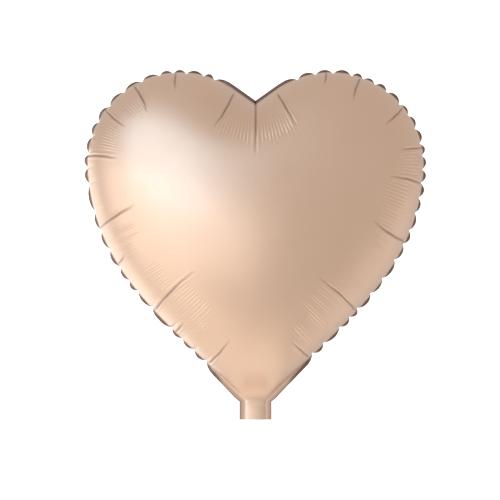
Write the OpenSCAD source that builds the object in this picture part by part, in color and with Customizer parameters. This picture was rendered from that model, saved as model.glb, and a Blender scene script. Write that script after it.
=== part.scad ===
// Heart-shaped foil balloon, inflated.
// Two film panels are welded together round their edge. A flat filling tail
// hangs from the neck at the bottom point of the heart, and a self-sealing
// valve of two thin films runs from the tail up into the envelope.
// Frame: the origin is the middle of the fold line across the neck, +Z runs up
// to the cleft, and the front panel is on the -Y side. Millimetres.

/* [Envelope outline] */
// Radius of each lobe, to the outer edge of the weld band
lobe_r = 103; // [98:1:106]
// Distance of each lobe's centre from the middle line
lobe_x = 83; // [80:1:86]
// Height of the lobe centres above the neck fold
lobe_z = 258; // [252:1:264]
// Height of the cleft between the lobes
cleft_z = 329; // [324:1:333]
// Length of the upper handle that shapes each flank below its lobe
flank_pull = 90; // [70:1:100]
// Length of the lower handle that shapes each flank above the neck
neck_pull = 99; // [80:1:105]
// Slope of the flank where it meets the neck, in degrees
neck_slope = 48; // [42:1:54]
// Width of the weld band round the edge
band_w = 6; // [3:0.5:8]
// Height of the weld band where it crosses the neck
neck_band_h = 3; // [2:0.5:4]

/* [Envelope depth] */
// Depth from the weld to the fullest point of each panel
belly = 104; // [80:1:112]
// Height of the fullest point above the neck fold
belly_z = 205; // [190:1:215]
// Thickness of the foil laminate
foil_t = 0.05; // [0.04:0.01:0.12]

/* [Filling tail] */
// Width of the flat tail
tail_w = 35; // [32:1:38]
// Length of the tail below the neck fold
tail_len = 17; // [14:1:40]
// Width of the weld along each side of the tail
tail_seam_w = 7; // [6:0.5:8]
// Height of the open channel's crown over the weld plane, each side
channel_rise = 1.8; // [1:0.1:1.9]
// Free film left on each side of the fold line
fold_gap = 0.8; // [0.7:0.05:1]

/* [Valve] */
// Width of the valve's two films
valve_w = 19; // [14:0.5:19]
// Height that the valve's free flaps reach up inside the envelope
valve_top = 64; // [50:1:75]
// Thickness of each valve film
valve_t = 0.05; // [0.03:0.01:0.06]
// Length of the valve's sleeve inside the tail
sleeve_len = 12; // [10:0.5:13]
// Width of the printed patch that keeps the valve films from welding shut
print_w = 15; // [10:0.5:16]
// Height of the printed patch
print_h = 8; // [5:0.5:9]

/* [Hidden] */

FOIL = [0.85, 0.70, 0.58];
VALVE_FILM = [0.88, 0.90, 0.92];
PRINT = [0.45, 0.62, 0.78];

// How finely the outline and the dome are divided
arc_steps = 24;
flank_steps = 16;
dome_steps = 9;
channel_steps = 8;
tail_rows = 6;

// Angle on the lobe's circle where the flank's curve takes over
lobe_end = -5;
// The film leaves the weld more gently at the neck and at the cleft
neck_pinch = 0.2;
cleft_pinch = 0.6;
pinch_sharpness = 6;
full_power = 0.5;
// The channel's crown right at the fold line, and how far down it opens out
fold_rise = 0.5;
open_out = 6;

// Half of the air gap between the two valve films
valve_gap = 0.1;
// Thickness of the printed patch
print_t = 0.03;
// The flaps start this far above the weld across the neck
flap_clear = 1.2;

centre = [0, belly_z];

function on_circle(c, r, a) = [c[0] + r * cos(a), c[1] + r * sin(a)];
function bezier(p, t) = pow(1 - t, 3) * p[0] + 3 * t * pow(1 - t, 2) * p[1]
    + 3 * t * t * (1 - t) * p[2] + pow(t, 3) * p[3];

// Angle on a circle where the tangent from an outside point above it touches
function tangent_angle(c, r, p) =
    atan2(p[1] - c[1], p[0] - c[0]) - acos(r / norm(p - c));

// Right half of the heart in the weld plane, as [x, z] from the cleft down to
// the neck, drawn a given distance inside the outer edge
function half_heart(inset, foot) =
    let (cleft = [0, cleft_z - inset],
         c = [lobe_x, lobe_z],
         r = lobe_r - inset,
         a0 = tangent_angle(c, r, cleft),
         start = on_circle(c, r, lobe_end),
         down = [sin(lobe_end), -cos(lobe_end)],
         flank = [start, start + flank_pull * down,
                  foot + neck_pull * [cos(neck_slope), sin(neck_slope)], foot])
    concat([cleft],
           [for (i = [0 : arc_steps])
               on_circle(c, r, a0 + (lobe_end - a0) * i / arc_steps)],
           [for (i = [1 : flank_steps]) bezier(flank, i / flank_steps)]);

// The whole outline: the right half down, then the left half back up
function heart(inset, foot) =
    let (half = half_heart(inset, foot), last = len(half) - 1)
    concat(half, [for (i = [last : -1 : 1]) [-half[i][0], half[i][1]]]);

edge = heart(0, [tail_w / 2, fold_gap]);
seam = heart(band_w, [tail_w / 2 - tail_seam_w, fold_gap + neck_band_h]);
count = len(seam);

// How sharply the film's depth falls away towards one point of the seam
function fall(p) =
    let (d = p - centre, c = abs(d[1]) / norm(d))
    full_power + (d[1] < 0 ? neck_pinch : cleft_pinch) * pow(c, pinch_sharpness);

// Point of the panel's inner face: s is 1 on the seam and 0 at the belly
function dome(i, s) =
    let (p = seam[(i + count) % count], q = centre + s * (p - centre))
    [q[0], -belly * pow(max(0, 1 - s * s), fall(p)), q[1]];

function unit(v) = v / norm(v);
function dome_normal(i, s) =
    unit(cross(dome(i + 1, s) - dome(i - 1, s), dome(i, s + 0.01) - dome(i, s - 0.01)));

function ring_s(k) = cos(90 * k / dome_steps);
function flat_ring(outline, y) = [for (p = outline) [p[0], y, p[1]]];

// Rings of one face of the panel, t outside its inner face, and the middle point
function panel_face(t) = concat(
    flat_ring(edge, -t),
    flat_ring(seam, -t),
    [for (k = [1 : dome_steps - 1], i = [0 : count - 1])
        dome(i, ring_s(k)) + t * dome_normal(i, ring_s(k))],
    [[0, -belly - t, belly_z]]);

rings = dome_steps + 1;
face_points = rings * count + 1;

function ring_quad(base, k, i) =
    let (j = (i + 1) % count, a = base + k * count, b = a + count)
    [[a + i, b + j, b + i], [a + i, a + j, b + j]];
function flip(f) = [f[2], f[1], f[0]];
function panel_faces(base) = concat(
    [for (k = [0 : rings - 2], i = [0 : count - 1], f = ring_quad(base, k, i)) f],
    [for (i = [0 : count - 1])
        [base + (rings - 1) * count + i, base + (rings - 1) * count + (i + 1) % count,
         base + rings * count]]);

// One foil panel: the domed film and its flat weld band, as one even skin
module panel() {
    rim = [for (i = [0 : count - 1], f = [[i, face_points + (i + 1) % count, (i + 1) % count],
                                         [i, face_points + i, face_points + (i + 1) % count]]) f];
    polyhedron(
        points = concat(panel_face(foil_t), panel_face(0)),
        faces = concat(panel_faces(0),
                       [for (f = panel_faces(face_points)) flip(f)],
                       rim));
}

// Columns across the tail: its two flat side welds and the channel between
channel_w = tail_w / 2 - tail_seam_w;
tail_x = concat([-tail_w / 2],
                [for (i = [0 : channel_steps]) channel_w * (2 * i / channel_steps - 1)],
                [tail_w / 2]);
cols = len(tail_x);

function arch(x) = abs(x) >= channel_w ? 0 : sqrt(1 - pow(x / channel_w, 2));
function rise(z) = fold_rise + (channel_rise - fold_rise)
    * sin(90 * min(1, (-z - fold_gap) / open_out));
function tail_row(i) = -fold_gap - (tail_len - fold_gap) * i / tail_rows;
function tail_face(t) = [for (i = [0 : tail_rows], x = tail_x)
    [x, -rise(tail_row(i)) * arch(x) - t, tail_row(i)]];

// One foil layer of the tail: flat along both sides, crowned over the channel
module tail_film() {
    n = (tail_rows + 1) * cols;
    skin = [for (i = [0 : tail_rows - 1], j = [0 : cols - 2])
        let (a = i * cols + j, b = a + cols)
        each [[a, a + 1, b + 1], [a, b + 1, b]]];
    ends = [for (j = [0 : cols - 2], e = [0, 1])
        let (a = e * tail_rows * cols + j, f = [[a, a + n, a + n + 1], [a, a + n + 1, a + 1]])
        each (e == 0 ? f : [flip(f[0]), flip(f[1])])];
    sides = [for (i = [0 : tail_rows - 1], e = [0, 1])
        let (a = i * cols + e * (cols - 1), b = a + cols,
             f = [[a, b, b + n], [a, b + n, a + n]])
        each (e == 0 ? f : [flip(f[0]), flip(f[1])])];
    polyhedron(
        points = concat(tail_face(foil_t), tail_face(0)),
        faces = concat(skin, [for (f = skin) [f[2] + n, f[1] + n, f[0] + n]], ends, sides));
}

// A flat strip of valve film in front of the weld plane, between two heights
module valve_strip(width, low, high, near, t) {
    translate([-width / 2, -near - t, low]) cube([width, t, high - low]);
}

flap_foot = fold_gap + neck_band_h + flap_clear;

module front_panel() { color(FOIL) panel(); }
module back_panel() { color(FOIL) mirror([0, 1, 0]) panel(); }
module tail_front() { color(FOIL) tail_film(); }
module tail_back() { color(FOIL) mirror([0, 1, 0]) tail_film(); }

module valve_sleeve_front() {
    color(VALVE_FILM)
        valve_strip(valve_w, -fold_gap - sleeve_len, -fold_gap, valve_gap, valve_t);
}
module valve_sleeve_back() {
    color(VALVE_FILM) mirror([0, 1, 0])
        valve_strip(valve_w, -fold_gap - sleeve_len, -fold_gap, valve_gap, valve_t);
}
module valve_flap_front() {
    color(VALVE_FILM) valve_strip(valve_w, flap_foot, valve_top, valve_gap, valve_t);
}
module valve_flap_back() {
    color(VALVE_FILM) mirror([0, 1, 0])
        valve_strip(valve_w, flap_foot, valve_top, valve_gap, valve_t);
}

// The heat-proof patch lies on the inner face of the front sleeve
module release_print() {
    color(PRINT)
        valve_strip(print_w, -fold_gap - (sleeve_len + print_h) / 2,
                    -fold_gap - (sleeve_len - print_h) / 2, valve_gap - print_t, print_t);
}

front_panel();
back_panel();
tail_front();
tail_back();
valve_sleeve_front();
valve_sleeve_back();
valve_flap_front();
valve_flap_back();
release_print();
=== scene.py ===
"""Heart-shaped foil balloon.

The foil is laid out the way the real one is cut: a flat heart, twice, joined round the edge. The
flat net is then carried to its filled place. Its height there is the square root of a membrane's
under pressure, scaled to BELLY, which is a choice of shape and not physics. The weld band outside
the seam puckers into scallops, and creases run in from its nicks. The valve and its print keep
their CAD shapes and get their own materials.
"""
import math

import bpy
import numpy as np
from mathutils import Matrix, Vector
from mathutils.geometry import delaunay_2d_cdt


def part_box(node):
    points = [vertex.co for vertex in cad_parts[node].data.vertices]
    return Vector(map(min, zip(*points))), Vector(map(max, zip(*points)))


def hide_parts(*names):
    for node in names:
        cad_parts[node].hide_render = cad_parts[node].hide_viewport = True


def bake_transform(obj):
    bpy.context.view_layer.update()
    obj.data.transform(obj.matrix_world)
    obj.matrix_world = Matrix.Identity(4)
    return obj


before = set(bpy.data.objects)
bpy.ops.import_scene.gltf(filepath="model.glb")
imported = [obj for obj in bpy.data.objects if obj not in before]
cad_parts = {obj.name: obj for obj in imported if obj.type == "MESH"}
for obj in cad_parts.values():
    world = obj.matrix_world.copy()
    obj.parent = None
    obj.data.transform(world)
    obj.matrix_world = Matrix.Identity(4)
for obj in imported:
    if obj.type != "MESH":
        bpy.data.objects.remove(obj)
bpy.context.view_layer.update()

MM = 0.001

# ---------------------------------------------------------------- the outlines, in millimetres
# Half of a heart: a straight run from the cleft, the lobe's arc, and the flank down to the neck.
# FLAT is the seam of the cut pattern. EDGE and SEAM are the edge and the seam of the filled balloon.
NECK = (10.5, 3.8)
FLAT = dict(cleft=392, lobe=(95, 297), radius=127, lobe_end=-15, flank_pull=130, neck_pull=146,
            slope=30, neck=NECK)
EDGE = dict(cleft=329, lobe=(83, 258), radius=103, lobe_end=-5, flank_pull=90, neck_pull=99,
            slope=48, neck=(17.5, 0.8))
SEAM = dict(EDGE, cleft=325, lobe=(82, 260), radius=100.5, lobe_end=-5, flank_pull=110,
            neck_pull=128, slope=45.5, neck=NECK)

TAIL_END = 1000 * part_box("tail_front")[0][2]
TAIL_HALF = 1000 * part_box("tail_front")[1][0]
WELD = 4.2                  # width of the weld band outside the seam
WELD_TAIL = TAIL_HALF - NECK[0]
WELD_GROWS = 110.0          # the band widens to the tail's over this length of seam
CHANNEL_RISE, FOLD_RISE = 1.8, 0.9  # height of the tail's channel, and of its start at the fold
FOLD_GAP = 0.8              # the channel opens out from here down, over OPEN_OUT
OPEN_OUT = 6.0
ARC_STEPS, STRAIGHT_STEPS = 160, 30

# The flat seam is longer than the filled edge, most of all round the lobes: distance from the
# cleft along the filled edge, and the distance along the flat seam that comes to lie there. Both
# are drawn out to the outlines' own lengths. The rows began as a simulation's output and were
# changed afterwards.
GATHER = ((0, 0), (60, 64), (140, 160), (224, 263), (264, 312), (320, 379), (431, 514),
          (514, 612), (554, 652))

# Puckers of the edge, each as (distance from the cleft along the filled edge, depth of the nick,
# length of the groove that runs in from it). A groove of SHORT_GROOVE or more is drawn in CREASES.
# The distances are a scratch script's, worked out from notches read by eye: see report.md.
LEFT_PUCKERS = (
    (60, 3, 9), (72, 2, 0), (91, 3.5, 18), (105, 2, 0), (120, 3, 6), (140, 4.5, 36),
    (162, 3, 8), (184, 4.5, 34), (204, 3, 0), (221, 3, 6), (240, 4.5, 36), (255, 3, 5),
    (271, 3.5, 16), (299, 3, 14), (320, 4.5, 50), (344, 3.5, 15), (368, 3.5, 9), (388, 3, 0),
    (404, 3, 5), (430, 5, 60), (463, 4, 18), (480, 2.5, 0), (497, 3.5, 6), (514, 5, 34))
RIGHT_PUCKERS = (
    (61, 3, 11), (81, 3, 9), (100, 3, 10), (120, 4.5, 28), (133, 3, 0), (147, 3, 0),
    (162, 3, 0), (181, 4.5, 30), (196, 3, 0), (212, 3, 5), (229, 4.5, 30), (242, 3, 0),
    (257, 3, 0), (270, 4.5, 44), (284, 3, 0), (300, 3, 12), (320, 3, 10), (337, 5, 46),
    (358, 3.5, 12), (385, 3.5, 10), (408, 3.5, 10), (432, 5, 56), (446, 3, 0), (462, 3.5, 13),
    (487, 3, 0), (503, 5, 30))
# Sharp creases, each from one point to another as the front is seen, (x, z). Most first points
# are the same notches' places in millimetres.
CREASES = (
    ((0, 323), (0, 266)), ((-24, 333), (-44, 295)), ((24, 333), (43, 297)),
    ((-86, 358), (-85, 337)), ((-130, 343), (-114, 313)), ((-162, 319), (-138, 298)),
    ((-182, 270), (-147, 265)), ((-168, 191), (-126, 215)), ((-150, 151), (-138, 162)),
    ((-107, 104), (-63, 145)), ((-88, 77), (-76, 90)), ((-49, 46), (-27, 73)),
    ((76, 359), (73, 344)), ((112, 351), (103, 325)), ((158, 320), (137, 300)),
    ((181, 278), (153, 274)), ((182, 238), (140, 245)), ((161, 176), (122, 199)),
    ((107, 103), (65, 139)), ((57, 52), (38, 71)))
CREASE_DEPTH = 1.0
CREASE_WIDTH = 1.1
CREASE_BOW = 0.045          # how far a crease bows to one side, as a share of its length
LIP_HEIGHT, LIP_PLACE, LIP_WIDTH = 0.45, 2.2, 1.1   # the raised lip, in depths and widths
PAINTED_SHADE_WIDTH = 0.9            # half width of the line of painted shade along a crease
CREASE_PAINTED_SHADE = 0.24          # how much painted shade that line takes, as a share of the weld band's painted shade
SHORT_GROOVE = 20
GROOVE_DEPTH, GROOVE_WIDTH = 0.6, 1.6
# The fan of wrinkles below the cleft: height that its lines point to, degrees between two lines,
# first and last line's angle, and first and last distance from that point
FAN = (383, 2.2, 3, 25, 64, 104)
# Groups of fine wrinkles that run in from the edge, each as (side, first and last distance along the
# filled edge, first and last distance from the seam)
FINE_GROUPS = (
    (-1, 143, 180, 18, 42), (-1, 196, 236, 18, 40), (-1, 322, 345, 14, 48), (-1, 346, 366, 12, 32),
    (-1, 386, 427, 20, 50), (-1, 433, 480, 22, 62), (-1, 481, 512, 18, 42),
    (1, 186, 216, 22, 42), (1, 232, 268, 8, 42), (1, 274, 330, 24, 54), (1, 340, 360, 24, 45),
    (1, 404, 430, 22, 56), (1, 434, 474, 20, 62), (1, 472, 501, 12, 46))
FINE_PITCH = 4.9            # along the flat seam
FINE_HEIGHT = 0.32
NICK_FULL = 3.5             # depth of a nick that moves the seam by NICK_IN and NICK_BACK
NICK_IN = 1.0               # the seam is drawn in by this much
NICK_BACK = 1.2             # and pushed to the back by this much
NICK_REACH = 5.0            # along the edge, on each side of the nick
NICK_FADES = 5.0            # distance from the seam over which a nick fades in the film

# ---------------------------------------------------------------- the mesh and the swell
MESH = 4.4                  # spacing near the seam to start with; it is halved LEVELS times
FINE_BAND = 64.0            # beyond this distance from the seam the spacing is doubled
LEVELS = 2
SOLVE_STEPS = 900           # the most steps that the solver takes
SOLVED = 1e-9               # it stops when this share of the load's square is left
FIT_CENTRE_Z, FIT_RADIUS, FIT_TERMS = 200.0, 180.0, 22
FIT_FROM, FIT_BLEND = 28.0, 18.0    # distances from the seam in the flat pattern
FIT_EVERY = 5               # one point in this many is fitted
BELLY = 102.0               # height of the fullest point over the weld plane
NECK_BLEND = 30.0           # height over which the neck opens out into the full swell
NECK_FILL = 0.09            # part of the full swell that is left at the fold line
FOLD_BLEND = 3.0            # half the height over which the swell passes into the tail's crown
SEED = 10


def circle(centre, radius, degrees):
    a = np.radians(degrees)
    return np.c_[centre[0] + radius * np.cos(a), centre[1] + radius * np.sin(a)]


def bezier(p0, p1, p2, p3, n):
    t = np.linspace(0, 1, n + 1)[:, None]
    u = 1 - t
    return u ** 3 * p0 + 3 * u * u * t * p1 + 3 * u * t * t * p2 + t ** 3 * p3


def half_heart(cleft, lobe, radius, lobe_end, flank_pull, neck_pull, slope, neck):
    """The right half of a heart, from the cleft down to the neck, as closely spaced points."""
    top, centre, neck = np.array([0, cleft]), np.array(lobe), np.array(neck)
    reach = top - centre
    first = math.degrees(math.atan2(reach[1], reach[0])
                         - math.acos(radius / np.linalg.norm(reach)))
    arc = circle(centre, radius, np.linspace(first, lobe_end, ARC_STEPS))
    end, slope = math.radians(lobe_end), math.radians(slope)
    down = np.array([math.sin(end), -math.cos(end)])
    out = neck + neck_pull * np.array([math.cos(slope), math.sin(slope)])
    flank = bezier(arc[-1], arc[-1] + flank_pull * down, out, neck, ARC_STEPS)
    return np.vstack([np.linspace(top, arc[0], STRAIGHT_STEPS)[:-1], arc, flank[1:]])


def lengths(line):
    return np.r_[0, np.cumsum(np.linalg.norm(np.diff(line, axis=0), axis=1))]


def along(line, marks, at):
    return np.c_[np.interp(at, marks, line[:, 0]), np.interp(at, marks, line[:, 1])]


flat_half = half_heart(**FLAT)
NECK_S = lengths(flat_half)[-1]
flat_half = np.vstack([flat_half, [NECK[0], TAIL_END]])
flat_s = lengths(flat_half)
edge_half, seam_half = half_heart(**EDGE), half_heart(**SEAM)
edge_s = lengths(edge_half)
gather_edge = [g[0] * edge_s[-1] / GATHER[-1][0] for g in GATHER]
gather_flat = [g[1] * NECK_S / GATHER[-1][1] for g in GATHER]


def flat_place(place):
    """Distance along the flat seam of a place on the filled edge."""
    return np.interp(place, gather_edge, gather_flat)


def edge_place(s):
    return np.interp(s, gather_flat, gather_edge)


def base_seam(place):
    """Where the filled seam runs in the weld plane, without its nicks."""
    step = np.interp(place, edge_s, np.arange(len(edge_s)))
    return along(seam_half, np.arange(len(seam_half)), step)


def outward(place):
    """Direction out of the filled heart, in the weld plane."""
    run = base_seam(np.minimum(place + 6, edge_s[-1])) - base_seam(np.maximum(place - 6, 0))
    return np.c_[-run[:, 1], run[:, 0]] / np.linalg.norm(run, axis=1)[:, None]


def seam_at(s, half):
    """The filled seam in space without its nicks, at distances s along the flat one."""
    line = base_seam(edge_place(s))
    line[:, 1] += np.where(s > NECK_S, NECK_S - s, 0)
    return np.c_[half * line[:, 0], np.zeros(len(s)), line[:, 1]]


def nick_at(s, half):
    """How the nicks move the seam, at distances s along the flat one."""
    place = edge_place(s)
    nick = np.zeros(len(s))
    for where, depth, _ in LEFT_PUCKERS if half < 0 else RIGHT_PUCKERS:
        near = np.clip(1 - np.abs(place - where) / NICK_REACH, 0, 1)
        nick = np.maximum(nick, depth / NICK_FULL * near ** 2)
    inward = -NICK_IN * nick[:, None] * outward(place)
    return np.c_[half * inward[:, 0], NICK_BACK * nick, inward[:, 1]]


def stops(puckers, spacing):
    """Distances along the half seam of the ring's points. Each pucker is a point of the ring."""
    marks = [0, *(flat_place(p[0]) for p in puckers), NECK_S, flat_s[-1]]
    out = [0.0]
    for a, b in zip(marks, marks[1:]):
        n = max(1, round((b - a) / spacing))
        out += list(a + (b - a) * np.arange(1, n + 1) / n)
    return np.array(out)


def within(points, ring):
    x, y = points[:, 0], points[:, 1]
    odd = np.zeros(len(points), bool)
    for (x1, y1), (x2, y2) in zip(ring, np.roll(ring, -1, 0)):
        if y1 == y2:
            continue
        crosses = (y1 > y) != (y2 > y)
        odd ^= crosses & (x < (x2 - x1) * (y - y1) / (y2 - y1) + x1)
    return odd


def nearest(points, line):
    """Distance to the nearest point of a line, and that point's number."""
    gap, which = np.empty(len(points)), np.empty(len(points), int)
    for a in range(0, len(points), 2000):
        part = points[a:a + 2000]
        d2 = ((part[:, None, :] - line[None]) ** 2).sum(2)
        which[a:a + 2000] = d2.argmin(1)
        gap[a:a + 2000] = np.sqrt(d2.min(1))
    return gap, which


def lattice(ring, spacing):
    """Points of a triangular lattice inside the ring, every other one left out far from the seam."""
    low, high = ring.min(0) - spacing, ring.max(0) + spacing
    rows = int((high[1] - low[1]) / (spacing * math.sqrt(0.75))) + 1
    columns = int((high[0] - low[0]) / spacing) + 1
    row, column = [v.ravel() for v in np.mgrid[0:rows, 0:columns]]
    points = np.c_[low[0] + spacing * (column + 0.5 * (row % 2)),
                   low[1] + spacing * math.sqrt(0.75) * row]
    coarse = (row % 2 == 0) & ((column + row // 2) % 2 == 0)
    keep = within(points, ring)
    points, coarse = points[keep], coarse[keep]
    gap, _ = nearest(points, ring)
    keep = (gap > 0.7 * spacing) & (coarse | (gap < FINE_BAND))
    return points[keep]


def weld_width(s):
    grown = np.clip((s - NECK_S + WELD_GROWS) / WELD_GROWS, 0, 1)
    return WELD + (WELD_TAIL - WELD) * grown ** 2


def doubled_area(p, q, r):
    """Twice the area of each flat triangle, below 0 where it runs clockwise."""
    return (q - p)[:, 0] * (r - p)[:, 1] - (q - p)[:, 1] * (r - p)[:, 0]


class Net:
    """Both panels as one net, welded round the edge: flat places, triangles, and each one's sheet."""

    def __init__(self):
        right, left = stops(RIGHT_PUCKERS, MESH), stops(LEFT_PUCKERS, MESH)
        n_foot = round(2 * NECK[0] / MESH)
        foot = np.linspace(NECK[0], -NECK[0], n_foot + 1)[1:-1]
        mirror = np.array([-1, 1])
        ring = np.vstack([along(flat_half, flat_s, right), np.c_[foot, np.full(len(foot), TAIL_END)],
                          along(flat_half, flat_s, left[:0:-1]) * mirror])
        n_ring = len(ring)
        panel = np.vstack([ring, lattice(ring, MESH)])
        made = delaunay_2d_cdt([Vector(p) for p in panel], [], [list(range(n_ring))], 1, 1e-5)
        assert len(made[0]) == len(panel)
        tri = np.array([f[:3] for f in made[2]])
        turned = doubled_area(*(panel[tri[:, k]] for k in range(3))) < 0
        tri[turned] = tri[turned][:, [0, 2, 1]]

        n = len(panel)
        welded = np.zeros(n, bool)
        welded[:n_ring] = True
        welded[len(right):len(right) + len(foot)] = False
        back_of = np.arange(n)
        back_of[~welded] = n + np.arange((~welded).sum())
        back = back_of[tri][:, [0, 2, 1]]

        self.flat = np.vstack([panel, panel[~welded]])
        self.side = np.r_[np.where(welded, 0, -1.0), np.ones((~welded).sum())]
        self.tri = np.vstack([tri, back])
        self.sheet = np.repeat([0, 1], [len(tri), len(back)])
        # The weld, from the tail's right end up over the top to its left end
        chain = np.r_[np.arange(len(right) - 1, -1, -1),
                      np.arange(n_ring - 1, len(right) + len(foot) - 1, -1)]
        self.chain_s = np.r_[right[::-1], left[1:]]
        self.chain_half = np.repeat([1, -1], [len(right), len(left) - 1])
        self.ring, self.chain = n_ring, chain

    def seam(self):
        """Where each point of the weld lies when the balloon is filled."""
        return np.where(self.chain_half[:, None] > 0, seam_at(self.chain_s, 1),
                        seam_at(self.chain_s, -1))

    def finer(self, shape):
        """Each triangle becomes four."""
        edge = np.sort(np.vstack([self.tri[:, [0, 1]], self.tri[:, [1, 2]], self.tri[:, [2, 0]]]), 1)
        pair, number = np.unique(edge, axis=0, return_inverse=True)
        middle = len(self.flat) + number.ravel().reshape(3, -1)
        a, b, c = self.tri.T
        ab, bc, ca = middle
        self.tri = np.vstack([np.c_[a, ab, ca], np.c_[ab, b, bc], np.c_[ca, bc, c],
                              np.c_[ab, bc, ca]])
        self.sheet = np.tile(self.sheet, 4)
        link = np.sort(np.c_[self.chain[:-1], self.chain[1:]], 1)
        size = len(self.flat)
        place = np.searchsorted(pair[:, 0] * size + pair[:, 1], link[:, 0] * size + link[:, 1])

        def filled_in(v, extra):
            return np.r_[np.c_[v[:-1], extra].ravel(), v[-1]]
        self.chain = filled_in(self.chain, size + place)
        self.chain_s = filled_in(self.chain_s, (self.chain_s[:-1] + self.chain_s[1:]) / 2)
        self.chain_half = filled_in(self.chain_half, self.chain_half[:-1])

        def halved(v):
            return np.concatenate([v, (v[pair[:, 0]] + v[pair[:, 1]]) / 2])
        self.flat, self.side = halved(self.flat), halved(self.side)
        return halved(shape)


def crown(x, z):
    """Height of the tail's channel over the weld plane."""
    open_out = np.clip((-z - FOLD_GAP) / OPEN_OUT, 0, 1)
    top = FOLD_RISE + (CHANNEL_RISE - FOLD_RISE) * np.sin(np.pi / 2 * open_out)
    return top * np.sqrt(np.clip(1 - (x / NECK[0]) ** 2, 0, 1))


def carried(points, ring, moved):
    """Takes points inside a ring along when the ring is moved, by mean value coordinates.

    A point that lies on the ring itself comes out as not a number.
    """
    out = np.empty((len(points), moved.shape[1]))
    for k in range(0, len(points), 1000):
        spoke = ring[None] - points[k:k + 1000, None]
        r = np.linalg.norm(spoke, axis=2)
        other, r_other = np.roll(spoke, -1, 1), np.roll(r, -1, 1)
        cross = spoke[..., 0] * other[..., 1] - spoke[..., 1] * other[..., 0]
        cross = np.where(np.abs(cross) < 1e-9, 1e-9, cross)
        half_tan = (r * r_other - (spoke * other).sum(2)) / cross
        with np.errstate(invalid="ignore"):
            weight = (half_tan + np.roll(half_tan, 1, 1)) / r
        out[k:k + 1000] = weight @ moved / weight.sum(1)[:, None]
    return out


def seam_place(flat):
    """Distance from the seam, distance along it from the cleft, and the half that it is on."""
    gap, which = nearest(np.c_[np.abs(flat[:, 0]), flat[:, 1]], flat_half)
    return gap, flat_s[which], np.where(flat[:, 0] < 0, -1, 1)


def crease_lift(shape, width):
    """A valley with a raised lip along each crease, 1 deep, and how near each point is to a crease, which
    sets the painted shade along it.
    """
    lift, line = np.zeros(len(shape)), np.zeros(len(shape))
    x, z = shape[:, 0], shape[:, 2]
    for number, ((x0, z0), (x1, z1)) in enumerate(CREASES):
        length = math.hypot(x1 - x0, z1 - z0)
        ux, uz = (x1 - x0) / length, (z1 - z0) / length
        t = ((x - x0) * ux + (z - z0) * uz) / length
        bow = CREASE_BOW * length * math.cos(2.4 * number) * np.sin(np.pi * t)
        waver = bow + 0.15 * np.sin(17 * t)
        off = np.abs((x - x0) * uz - (z - z0) * ux - waver * (number > 0))
        fade = np.clip((t + 0.1) / 0.1, 0, 1) * np.clip((1 - t) / 0.5, 0, 1) ** 0.7
        lip = LIP_HEIGHT * np.exp(-((off / width - LIP_PLACE) / LIP_WIDTH) ** 2)
        lift += fade * (lip - np.exp(-(off / width) ** 2))
        # painted shade: a thin darker line along each crease, fading towards its inner end
        line = np.maximum(line, fade * np.exp(-(off / PAINTED_SHADE_WIDTH) ** 2))
    return lift, line


def placed(net):
    """Where the flat net comes to lie as the filled balloon is seen from the front."""
    ring = net.flat[:net.ring].copy()
    ring[net.chain] = net.seam()[:, [0, 2]]
    flat = net.flat[net.ring:]
    inner = carried(flat, net.flat[:net.ring], ring)
    return np.vstack([ring, np.where(np.isfinite(inner), inner, flat)])


def swell(net, place):
    """How full the film is at each point, from 0 on the seam to 1 at the fullest.

    This solves a membrane's equation, and smooth_inside returns the square root of its height.
    """
    i, j, k = net.tri.T
    p, q, r = place[i], place[j], place[k]
    twice = np.abs(doubled_area(p, q, r)) + 1e-6
    stiff = [((b - a) * (c - a)).sum(1) / twice / 2 for a, b, c in ((r, p, q), (p, q, r), (q, r, p))]
    ends = ((i, j), (j, k), (k, i))
    one = np.concatenate([v for pair in ends for v in pair])
    other = np.concatenate([v for pair in ends for v in pair[::-1]])
    weight = np.maximum(np.concatenate([w for w in stiff for _ in range(2)]), 1e-3)
    n = len(place)
    free = net.side != 0
    diagonal = np.bincount(one, weight, n)
    load = np.bincount(net.tri.ravel(), np.repeat(twice / 6, 3), n) * free
    full, rest = np.zeros(n), load.copy()
    scaled = rest / diagonal
    way, size = scaled.copy(), rest @ scaled
    for _ in range(SOLVE_STEPS):
        turned = (diagonal * way - np.bincount(one, weight * way[other], n)) * free
        step = size / (way @ turned)
        full += step * way
        rest -= step * turned
        scaled = rest / diagonal
        new = rest @ scaled
        if new < SOLVED * (load @ load):
            break
        way, size = scaled + new / size * way, new
    return smooth_inside(net, place, full)


def smooth_inside(net, place, full):
    """Far from the seam the solution is a parabola plus a harmonic part, so that is fitted to it."""
    gap, _, _ = seam_place(net.flat)
    w = (place[:, 0] + 1j * (place[:, 1] - FIT_CENTRE_Z)) / FIT_RADIUS
    powers = np.stack([w ** k for k in range(FIT_TERMS)], 1)
    terms = np.hstack([powers.real, powers.imag[:, 1:]])
    parabola = -(place ** 2).sum(1) / 4
    deep = np.flatnonzero((gap > FIT_FROM) & (net.side < 0))[::FIT_EVERY]
    share = np.linalg.lstsq(terms[deep], (full - parabola)[deep], rcond=None)[0]
    full = full + smooth_step((gap - FIT_FROM) / FIT_BLEND) * (parabola + terms @ share - full)
    return np.sqrt(np.maximum(full, 0) / full.max())


def normals(points, faces):
    a, b, c = (points[faces[:, k]] for k in range(3))
    face = np.repeat(np.cross(b - a, c - a), 3, axis=0)
    out = np.stack([np.bincount(faces.ravel(), face[:, k], len(points)) for k in range(3)], 1)
    return out / (np.linalg.norm(out, axis=1)[:, None] + 1e-9)


def smooth_step(t):
    t = np.clip(t, 0, 1)
    return t ** 2 * (3 - 2 * t)


def between(v, first, last, soft):
    """1 from first to last, fading to 0 outside over a soft distance."""
    return np.clip(np.minimum(v - first, last - v) / soft + 0.5, 0, 1)


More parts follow.
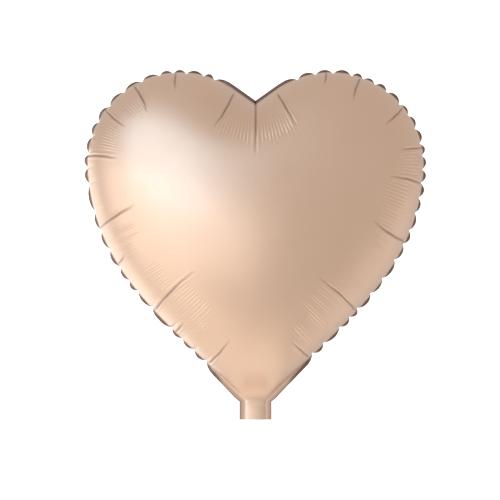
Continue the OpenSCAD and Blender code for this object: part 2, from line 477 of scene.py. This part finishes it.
def fan_lift(shape):
    top, pitch, first, last, near, far = FAN
    reach = np.hypot(shape[:, 0], top - shape[:, 2])
    angle = np.abs(np.degrees(np.arctan2(shape[:, 0], np.maximum(top - shape[:, 2], 1))))
    window = between(angle, first, last, 3) * between(reach, near, far, 12)
    return FINE_HEIGHT * np.cos(2 * np.pi * angle / pitch) * window


def fine_detail(net, shape):
    """Adds the sharp creases and the fine wrinkles."""
    gap, at, half = seam_place(net.flat)
    film = net.side != 0
    valley, line = crease_lift(shape, CREASE_WIDTH)
    lift = CREASE_DEPTH * valley + fan_lift(shape)
    wave = np.sin(2 * np.pi * at / FINE_PITCH + 1.3 * np.sin(at / 19 + half))
    for hand, first, last, near, far in FINE_GROUPS:
        ends = flat_place(first), flat_place(last)
        window = between(at, *ends, 6) * between(gap, near, far, 10)
        lift += FINE_HEIGHT * wave * window * (half == hand)
    for hand, puckers in ((-1, LEFT_PUCKERS), (1, RIGHT_PUCKERS)):
        for where, _, crease in puckers:
            if 0 < crease < SHORT_GROOVE:
                across = np.exp(-((at - flat_place(where)) / GROOVE_WIDTH) ** 2) * (half == hand)
                reach = np.clip(1 - gap / crease, 0, 1) ** 0.6
                lift -= GROOVE_DEPTH * CREASE_DEPTH * across * reach
    return shape + (lift * film)[:, None] * normals(shape, net.tri), line * film


def inflate():
    """The filled net, the places of its points, and how near each is to a crease, which sets the painted
    shade along it.
    """
    net = Net()
    place = placed(net)
    for _ in range(LEVELS):
        place = net.finer(place)
        place[net.chain] = net.seam()[:, [0, 2]]
    net.side = np.sign(net.side)
    x, z = place.T
    height = BELLY * swell(net, place)
    open_out = 1 - np.exp(-(np.maximum(z, 0) / NECK_BLEND) ** 2)
    height *= NECK_FILL + (1 - NECK_FILL) * open_out
    above = smooth_step((z + FOLD_BLEND) / (2 * FOLD_BLEND))
    height = above * height + (1 - above) * crown(x, z)
    shape = np.c_[x, net.side * height, z]
    gap, at, half = seam_place(net.flat)
    nick = np.where(half[:, None] > 0, nick_at(at, 1), nick_at(at, -1))
    shape += nick * np.exp(-gap / NICK_FADES)[:, None]
    return net, *fine_detail(net, shape)


net, shape, crease_painted_shade = inflate()


# ---------------------------------------------------------------- materials
def principled(name, **values):
    mat = bpy.data.materials.new(name)
    mat.use_nodes = True
    shader = mat.node_tree.nodes["Principled BSDF"]
    for socket, value in values.items():
        shader.inputs[socket.replace("_", " ")].default_value = value
    return mat, shader


def add(mat, kind, **values):
    node = mat.node_tree.nodes.new("ShaderNode" + kind)
    for name, value in values.items():
        if name in node.inputs:
            node.inputs[name].default_value = value
        else:
            setattr(node, name, value)
    return node


def noise(mat, where, scale, detail=2.0, rough=0.5):
    node = add(mat, "TexNoise", Scale=scale, Detail=detail, Roughness=rough)
    mat.node_tree.links.new(where, node.inputs["Vector"])
    return node.outputs["Fac"]


def ranged(mat, value, low, high, start=0.3, stop=0.7):
    """A value between low and high, as the input goes from start to stop."""
    node = add(mat, "MapRange")
    for socket, number in zip(("From Min", "From Max", "To Min", "To Max"),
                              (start, stop, low, high)):
        node.inputs[socket].default_value = number
    mat.node_tree.links.new(value, node.inputs["Value"])
    return node.outputs["Result"]


def bump(mat, height, distance, strength=1.0, under=None):
    node = add(mat, "Bump", Strength=strength, Distance=distance)
    mat.node_tree.links.new(height, node.inputs["Height"])
    if under is not None:
        mat.node_tree.links.new(under, node.inputs["Normal"])
    return node.outputs["Normal"]


def foil_material():
    """Satin rose-gold foil: metal under a thin clear lacquer, rougher in the weld, with painted shade on
    the weld band and along the creases.
    """
    mat, shader = principled("foil", Metallic=1.0, Coat_Weight=1.0, Coat_Roughness=0.45,
                             Coat_IOR=1.9)
    link = mat.node_tree.links.new
    place = add(mat, "TexCoord").outputs["Object"]
    # the "weld" attribute is painted shade, on the weld band and in a line along each crease; it also
    # makes those places rougher
    weld = ranged(mat, add(mat, "Attribute", attribute_name="weld").outputs["Fac"], 0, 1, 0.0, 0.3)
    tint = add(mat, "MixRGB", Color1=(0.80, 0.565, 0.41, 1), Color2=(0.84, 0.61, 0.46, 1))
    link(ranged(mat, noise(mat, place, 9), 0, 1), tint.inputs["Fac"])
    # painted shade: dark brown mixed into the foil's colour where that attribute is high
    painted_shade = add(mat, "MixRGB", Color2=(0.14, 0.06, 0.038, 1))
    link(tint.outputs["Color"], painted_shade.inputs["Color1"])
    link(weld, painted_shade.inputs["Fac"])
    link(painted_shade.outputs["Color"], shader.inputs["Base Color"])
    grain = noise(mat, place, 60, 3)
    rough = add(mat, "Math", operation="ADD")
    link(ranged(mat, grain, 0.37, 0.42), rough.inputs[0])
    link(ranged(mat, weld, 0.0, 0.08, 0, 1), rough.inputs[1])
    link(rough.outputs["Value"], shader.inputs["Roughness"])
    fine = bump(mat, noise(mat, place, 2600, 2), 0.00002)
    link(bump(mat, noise(mat, place, 240, 3), 0.00006, under=fine), shader.inputs["Normal"])
    return mat


def film_material():
    """Clear blown film with faint haze along its length."""
    mat, shader = principled("valve film", Base_Color=(0.88, 0.90, 0.92, 1), Alpha=0.45,
                             Coat_Weight=0.3)
    link = mat.node_tree.links.new
    place = add(mat, "TexCoord").outputs["Object"]
    stretch = add(mat, "Mapping")
    stretch.inputs["Scale"].default_value = (900, 900, 60)
    link(place, stretch.inputs["Vector"])
    haze = noise(mat, stretch.outputs["Vector"], 1.0, 3)
    link(ranged(mat, haze, 0.12, 0.32), shader.inputs["Roughness"])
    link(bump(mat, haze, 0.00005), shader.inputs["Normal"])
    return mat


def print_material():
    """Matte heat-proof ink, laid down in fine dots."""
    mat, shader = principled("release print", Roughness=0.75)
    link = mat.node_tree.links.new
    place = add(mat, "TexCoord").outputs["Object"]
    dots = add(mat, "TexVoronoi", Scale=1400.0)
    link(place, dots.inputs["Vector"])
    ink = add(mat, "MixRGB", Color1=(0.36, 0.54, 0.72, 1), Color2=(0.52, 0.68, 0.82, 1))
    link(ranged(mat, dots.outputs["Distance"], 0, 1, 0.2, 0.6), ink.inputs["Fac"])
    link(ink.outputs["Color"], shader.inputs["Base Color"])
    link(bump(mat, dots.outputs["Distance"], 0.00003), shader.inputs["Normal"])
    return mat


# ---------------------------------------------------------------- the two foil panels
FILM_GAP = 0.05             # half the gap drawn between the two layers of the weld band
BAND_ROWS = 5
BAND_LEAN = 30.0            # degrees that the band leans back halfway between two nicks
LEAN_VARIES = 12.0          # and the most that this differs from one scallop to the next
LUNE_HALF = 13.0            # a band that is longer than two of these keeps its lean in the middle
PAST_END = 60.0             # the outermost scallops end this far past the cleft and the neck
TAIL_TURNS = 12.0, 16.0     # the band turns level from here above the neck, over this length
LIGHT_TAIL = 0.78           # share of the weld band's painted shade that is gone by the tail
LIGHT_FROM, LIGHT_OVER = 55.0, 30.0


def band_lean(place, puckers, half):
    """How far the weld band leans to the back: flat against the film at each nick, in radians."""
    nicks = [p[0] for p in puckers]
    marks = [-PAST_END, *nicks, edge_s[-1] + PAST_END]
    tilts = np.random.default_rng(SEED + half).uniform(-LEAN_VARIES, LEAN_VARIES, len(nicks) + 1)
    lean = np.zeros(len(place))
    for k, (a, b) in enumerate(zip(marks, marks[1:])):
        here = (place >= a) & (place <= b)
        gap = np.minimum(place - a, b - place) / min((b - a) / 2, LUNE_HALF)
        middle = BAND_LEAN + tilts[k] if 0 < k < len(nicks) else 0
        shown = math.cos(math.radians(middle)) * (1 - np.clip(1 - gap, 0, 1) ** 2)
        lean[here] = np.arccos(np.clip(shown, 0, 1))[here]
    return lean


def band_points(net, shape):
    """Rows of points across the weld band, each row outside the last, and how far out each is."""
    s, half = net.chain_s, net.chain_half
    way = np.empty((len(s), 3))
    for hand, puckers in ((1, RIGHT_PUCKERS), (-1, LEFT_PUCKERS)):
        here = half == hand
        place = edge_place(s[here])
        out = outward(place)
        out[:, 0] = np.where(s[here] < 1, 0, out[:, 0])
        tail = np.clip((s[here] - NECK_S + TAIL_TURNS[0]) / TAIL_TURNS[1], 0, 1)[:, None]
        out = out * (1 - tail) + tail * np.array([1, 0])
        out /= np.linalg.norm(out, axis=1)[:, None]
        lean = band_lean(place, puckers, hand)
        way[here] = np.c_[hand * out[:, 0] * np.cos(lean), np.sin(lean), out[:, 1] * np.cos(lean)]
    rows = [shape[net.chain] + (weld_width(s) * k / BAND_ROWS)[:, None] * way
            for k in range(1, BAND_ROWS + 1)]
    return np.vstack(rows), np.repeat(np.arange(1, BAND_ROWS + 1) / BAND_ROWS, len(s))


def painted_weld_shade(s):
    """The weld band's painted shade: full along the seam, and less of it by the tail."""
    return 1 - LIGHT_TAIL * np.clip((s - NECK_S + LIGHT_FROM) / LIGHT_OVER, 0, 1)


def panel_object(name, net, shape, crease_painted_shade, sheet, hand, foil):
    """One foil panel with its own layer of the weld band. hand is -1 for the front, 1 for the back."""
    rows, out = band_points(net, shape)
    n, wide = len(shape), len(net.chain)
    grid = np.vstack([net.chain, n + np.arange(len(rows)).reshape(BAND_ROWS, wide)])
    a, b, c, d = (v.ravel() for v in (grid[:-1, :-1], grid[1:, :-1], grid[1:, 1:], grid[:-1, 1:]))
    band = np.vstack([np.c_[a, b, c], np.c_[a, c, d]])
    if hand > 0:
        band = band[:, ::-1]
    faces = np.vstack([net.tri[net.sheet == sheet], band])
    used, faces = np.unique(faces, return_inverse=True)
    faces = faces.reshape(-1, 3)
    points = np.vstack([shape, rows])[used]
    weld = np.r_[np.zeros(n), out][used]
    # painted shade: a darker line along each crease, and the weld band darker towards its outer edge,
    # with less of it by the tail
    painted_shade = np.r_[CREASE_PAINTED_SHADE * crease_painted_shade,
                  out * np.tile(painted_weld_shade(net.chain_s), BAND_ROWS)][used]
    points = points + FILM_GAP * np.clip(weld * 4, 0, 1)[:, None] * normals(points, faces)
    mesh = bpy.data.meshes.new(name)
    mesh.from_pydata((points * MM).tolist(), [], faces.tolist())
    mesh.polygons.foreach_set("use_smooth", np.ones(len(faces), bool))
    mesh.attributes.new("weld", "FLOAT", "POINT").data.foreach_set("value", painted_shade.astype(np.float32))
    mesh.materials.append(foil)
    mesh.update()
    obj = bpy.data.objects.new(name, mesh)
    bpy.context.scene.collection.objects.link(obj)
    return obj


foil = foil_material()
for name, sheet, hand, nodes in (("front_foil", 0, -1, ("front_panel", "tail_front")),
                                 ("back_foil", 1, 1, ("back_panel", "tail_back"))):
    panel = panel_object(name, net, shape, crease_painted_shade, sheet, hand, foil)
    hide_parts(*nodes)
    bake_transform(panel)


# ---------------------------------------------------------------- the valve keeps its CAD shapes
def repaint(material, *nodes):
    for node in nodes:
        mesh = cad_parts[node].data
        mesh.materials.clear()
        mesh.materials.append(material)


repaint(film_material(), "valve_sleeve_front", "valve_sleeve_back",
        "valve_flap_front", "valve_flap_back")
repaint(print_material(), "release_print")


# ---------------------------------------------------------------- floor, lights and camera
SWEEP_GLOW = 1.0            # the paper glows, so that it is an even white


def sweep():
    """A round pale floor that curves up into a wall. It is seen, but isn't mirrored in the foil."""
    floor_z, radius, bend, top = -1.3, 3.4, 0.9, 3.4
    turn = np.linspace(0, np.pi / 2, 10)
    across = [0.01, 1.5, *(radius - bend + bend * np.sin(turn)), radius]
    up = [floor_z, floor_z, *(floor_z + bend - bend * np.cos(turn)), top]
    spins = np.linspace(0, 2 * np.pi, 65)[:-1]
    points = [(r * math.cos(s), r * math.sin(s), z) for r, z in zip(across, up) for s in spins]
    n = len(spins)
    faces = [(k * n + i, k * n + (i + 1) % n, (k + 1) * n + (i + 1) % n, (k + 1) * n + i)
             for k in range(len(across) - 1) for i in range(n)]
    mesh = bpy.data.meshes.new("sweep")
    mesh.from_pydata(points, [], faces + [tuple(reversed(range(n)))])
    mesh.polygons.foreach_set("use_smooth", np.ones(len(mesh.polygons), bool))
    obj = bpy.data.objects.new("sweep", mesh)
    bpy.context.scene.collection.objects.link(obj)
    mat, _ = principled("pale paper", Base_Color=(0.9, 0.9, 0.9, 1), Roughness=0.9,
                        Emission_Color=(1, 1, 1, 1), Emission_Strength=SWEEP_GLOW)
    mesh.materials.append(mat)
    obj.visible_glossy = False
    obj.visible_diffuse = False
    obj.visible_shadow = False


def softbox(name, place, size, power, aim=(0, 0, 0.18), colour=(1, 1, 1)):
    light = bpy.data.lights.new(name, "AREA")
    light.shape = "RECTANGLE"
    light.size, light.size_y = size
    light.energy, light.color = power, colour
    obj = bpy.data.objects.new(name, light)
    obj.location = place
    obj.rotation_euler = (Vector(aim) - Vector(place)).to_track_quat("-Z", "Y").to_euler()
    bpy.context.scene.collection.objects.link(obj)


sweep()
softbox("key", (-1.3, -1.5, 1.17), (2.1, 2.1), 13.5, colour=(0.66, 0.96, 1.28))
softbox("left", (-2.2, -0.8, -0.3), (2.4, 2.2), 12)
softbox("left back", (-1.6, 1.8, -0.4), (2.0, 2.0), 10)
softbox("front left", (-1.12, -2.7, -0.4), (2.4, 2.2), 10.5)
softbox("low", (-0.4, 0.0, -1.6), (2.8, 2.8), 10, colour=(1, 0.9, 0.78))
softbox("right low", (1.8, 0.6, -0.8), (2.0, 2.0), 2.5)
world = bpy.data.worlds.new("room")
world.use_nodes = True
world.node_tree.nodes["Background"].inputs["Color"].default_value = (1, 0.91, 0.84, 1)
world.node_tree.nodes["Background"].inputs["Strength"].default_value = 0.62
bpy.context.scene.world = world
bpy.context.scene.view_settings.view_transform = "Standard"

LENS, SENSOR = 120.0, 36.0
VIEW_WIDTH = 0.544          # metres across the frame at the balloon
VIEW_MIDDLE = (-0.006, 0.1676)      # x and z that the camera looks at
camera = bpy.data.cameras.new("camera")
camera.lens, camera.sensor_width = LENS, SENSOR
eye = bpy.data.objects.new("camera", camera)
eye.location = (VIEW_MIDDLE[0], -VIEW_WIDTH * LENS / SENSOR, VIEW_MIDDLE[1])
eye.rotation_euler = (math.pi / 2, 0, 0)
bpy.context.scene.collection.objects.link(eye)
bpy.context.scene.camera = eye
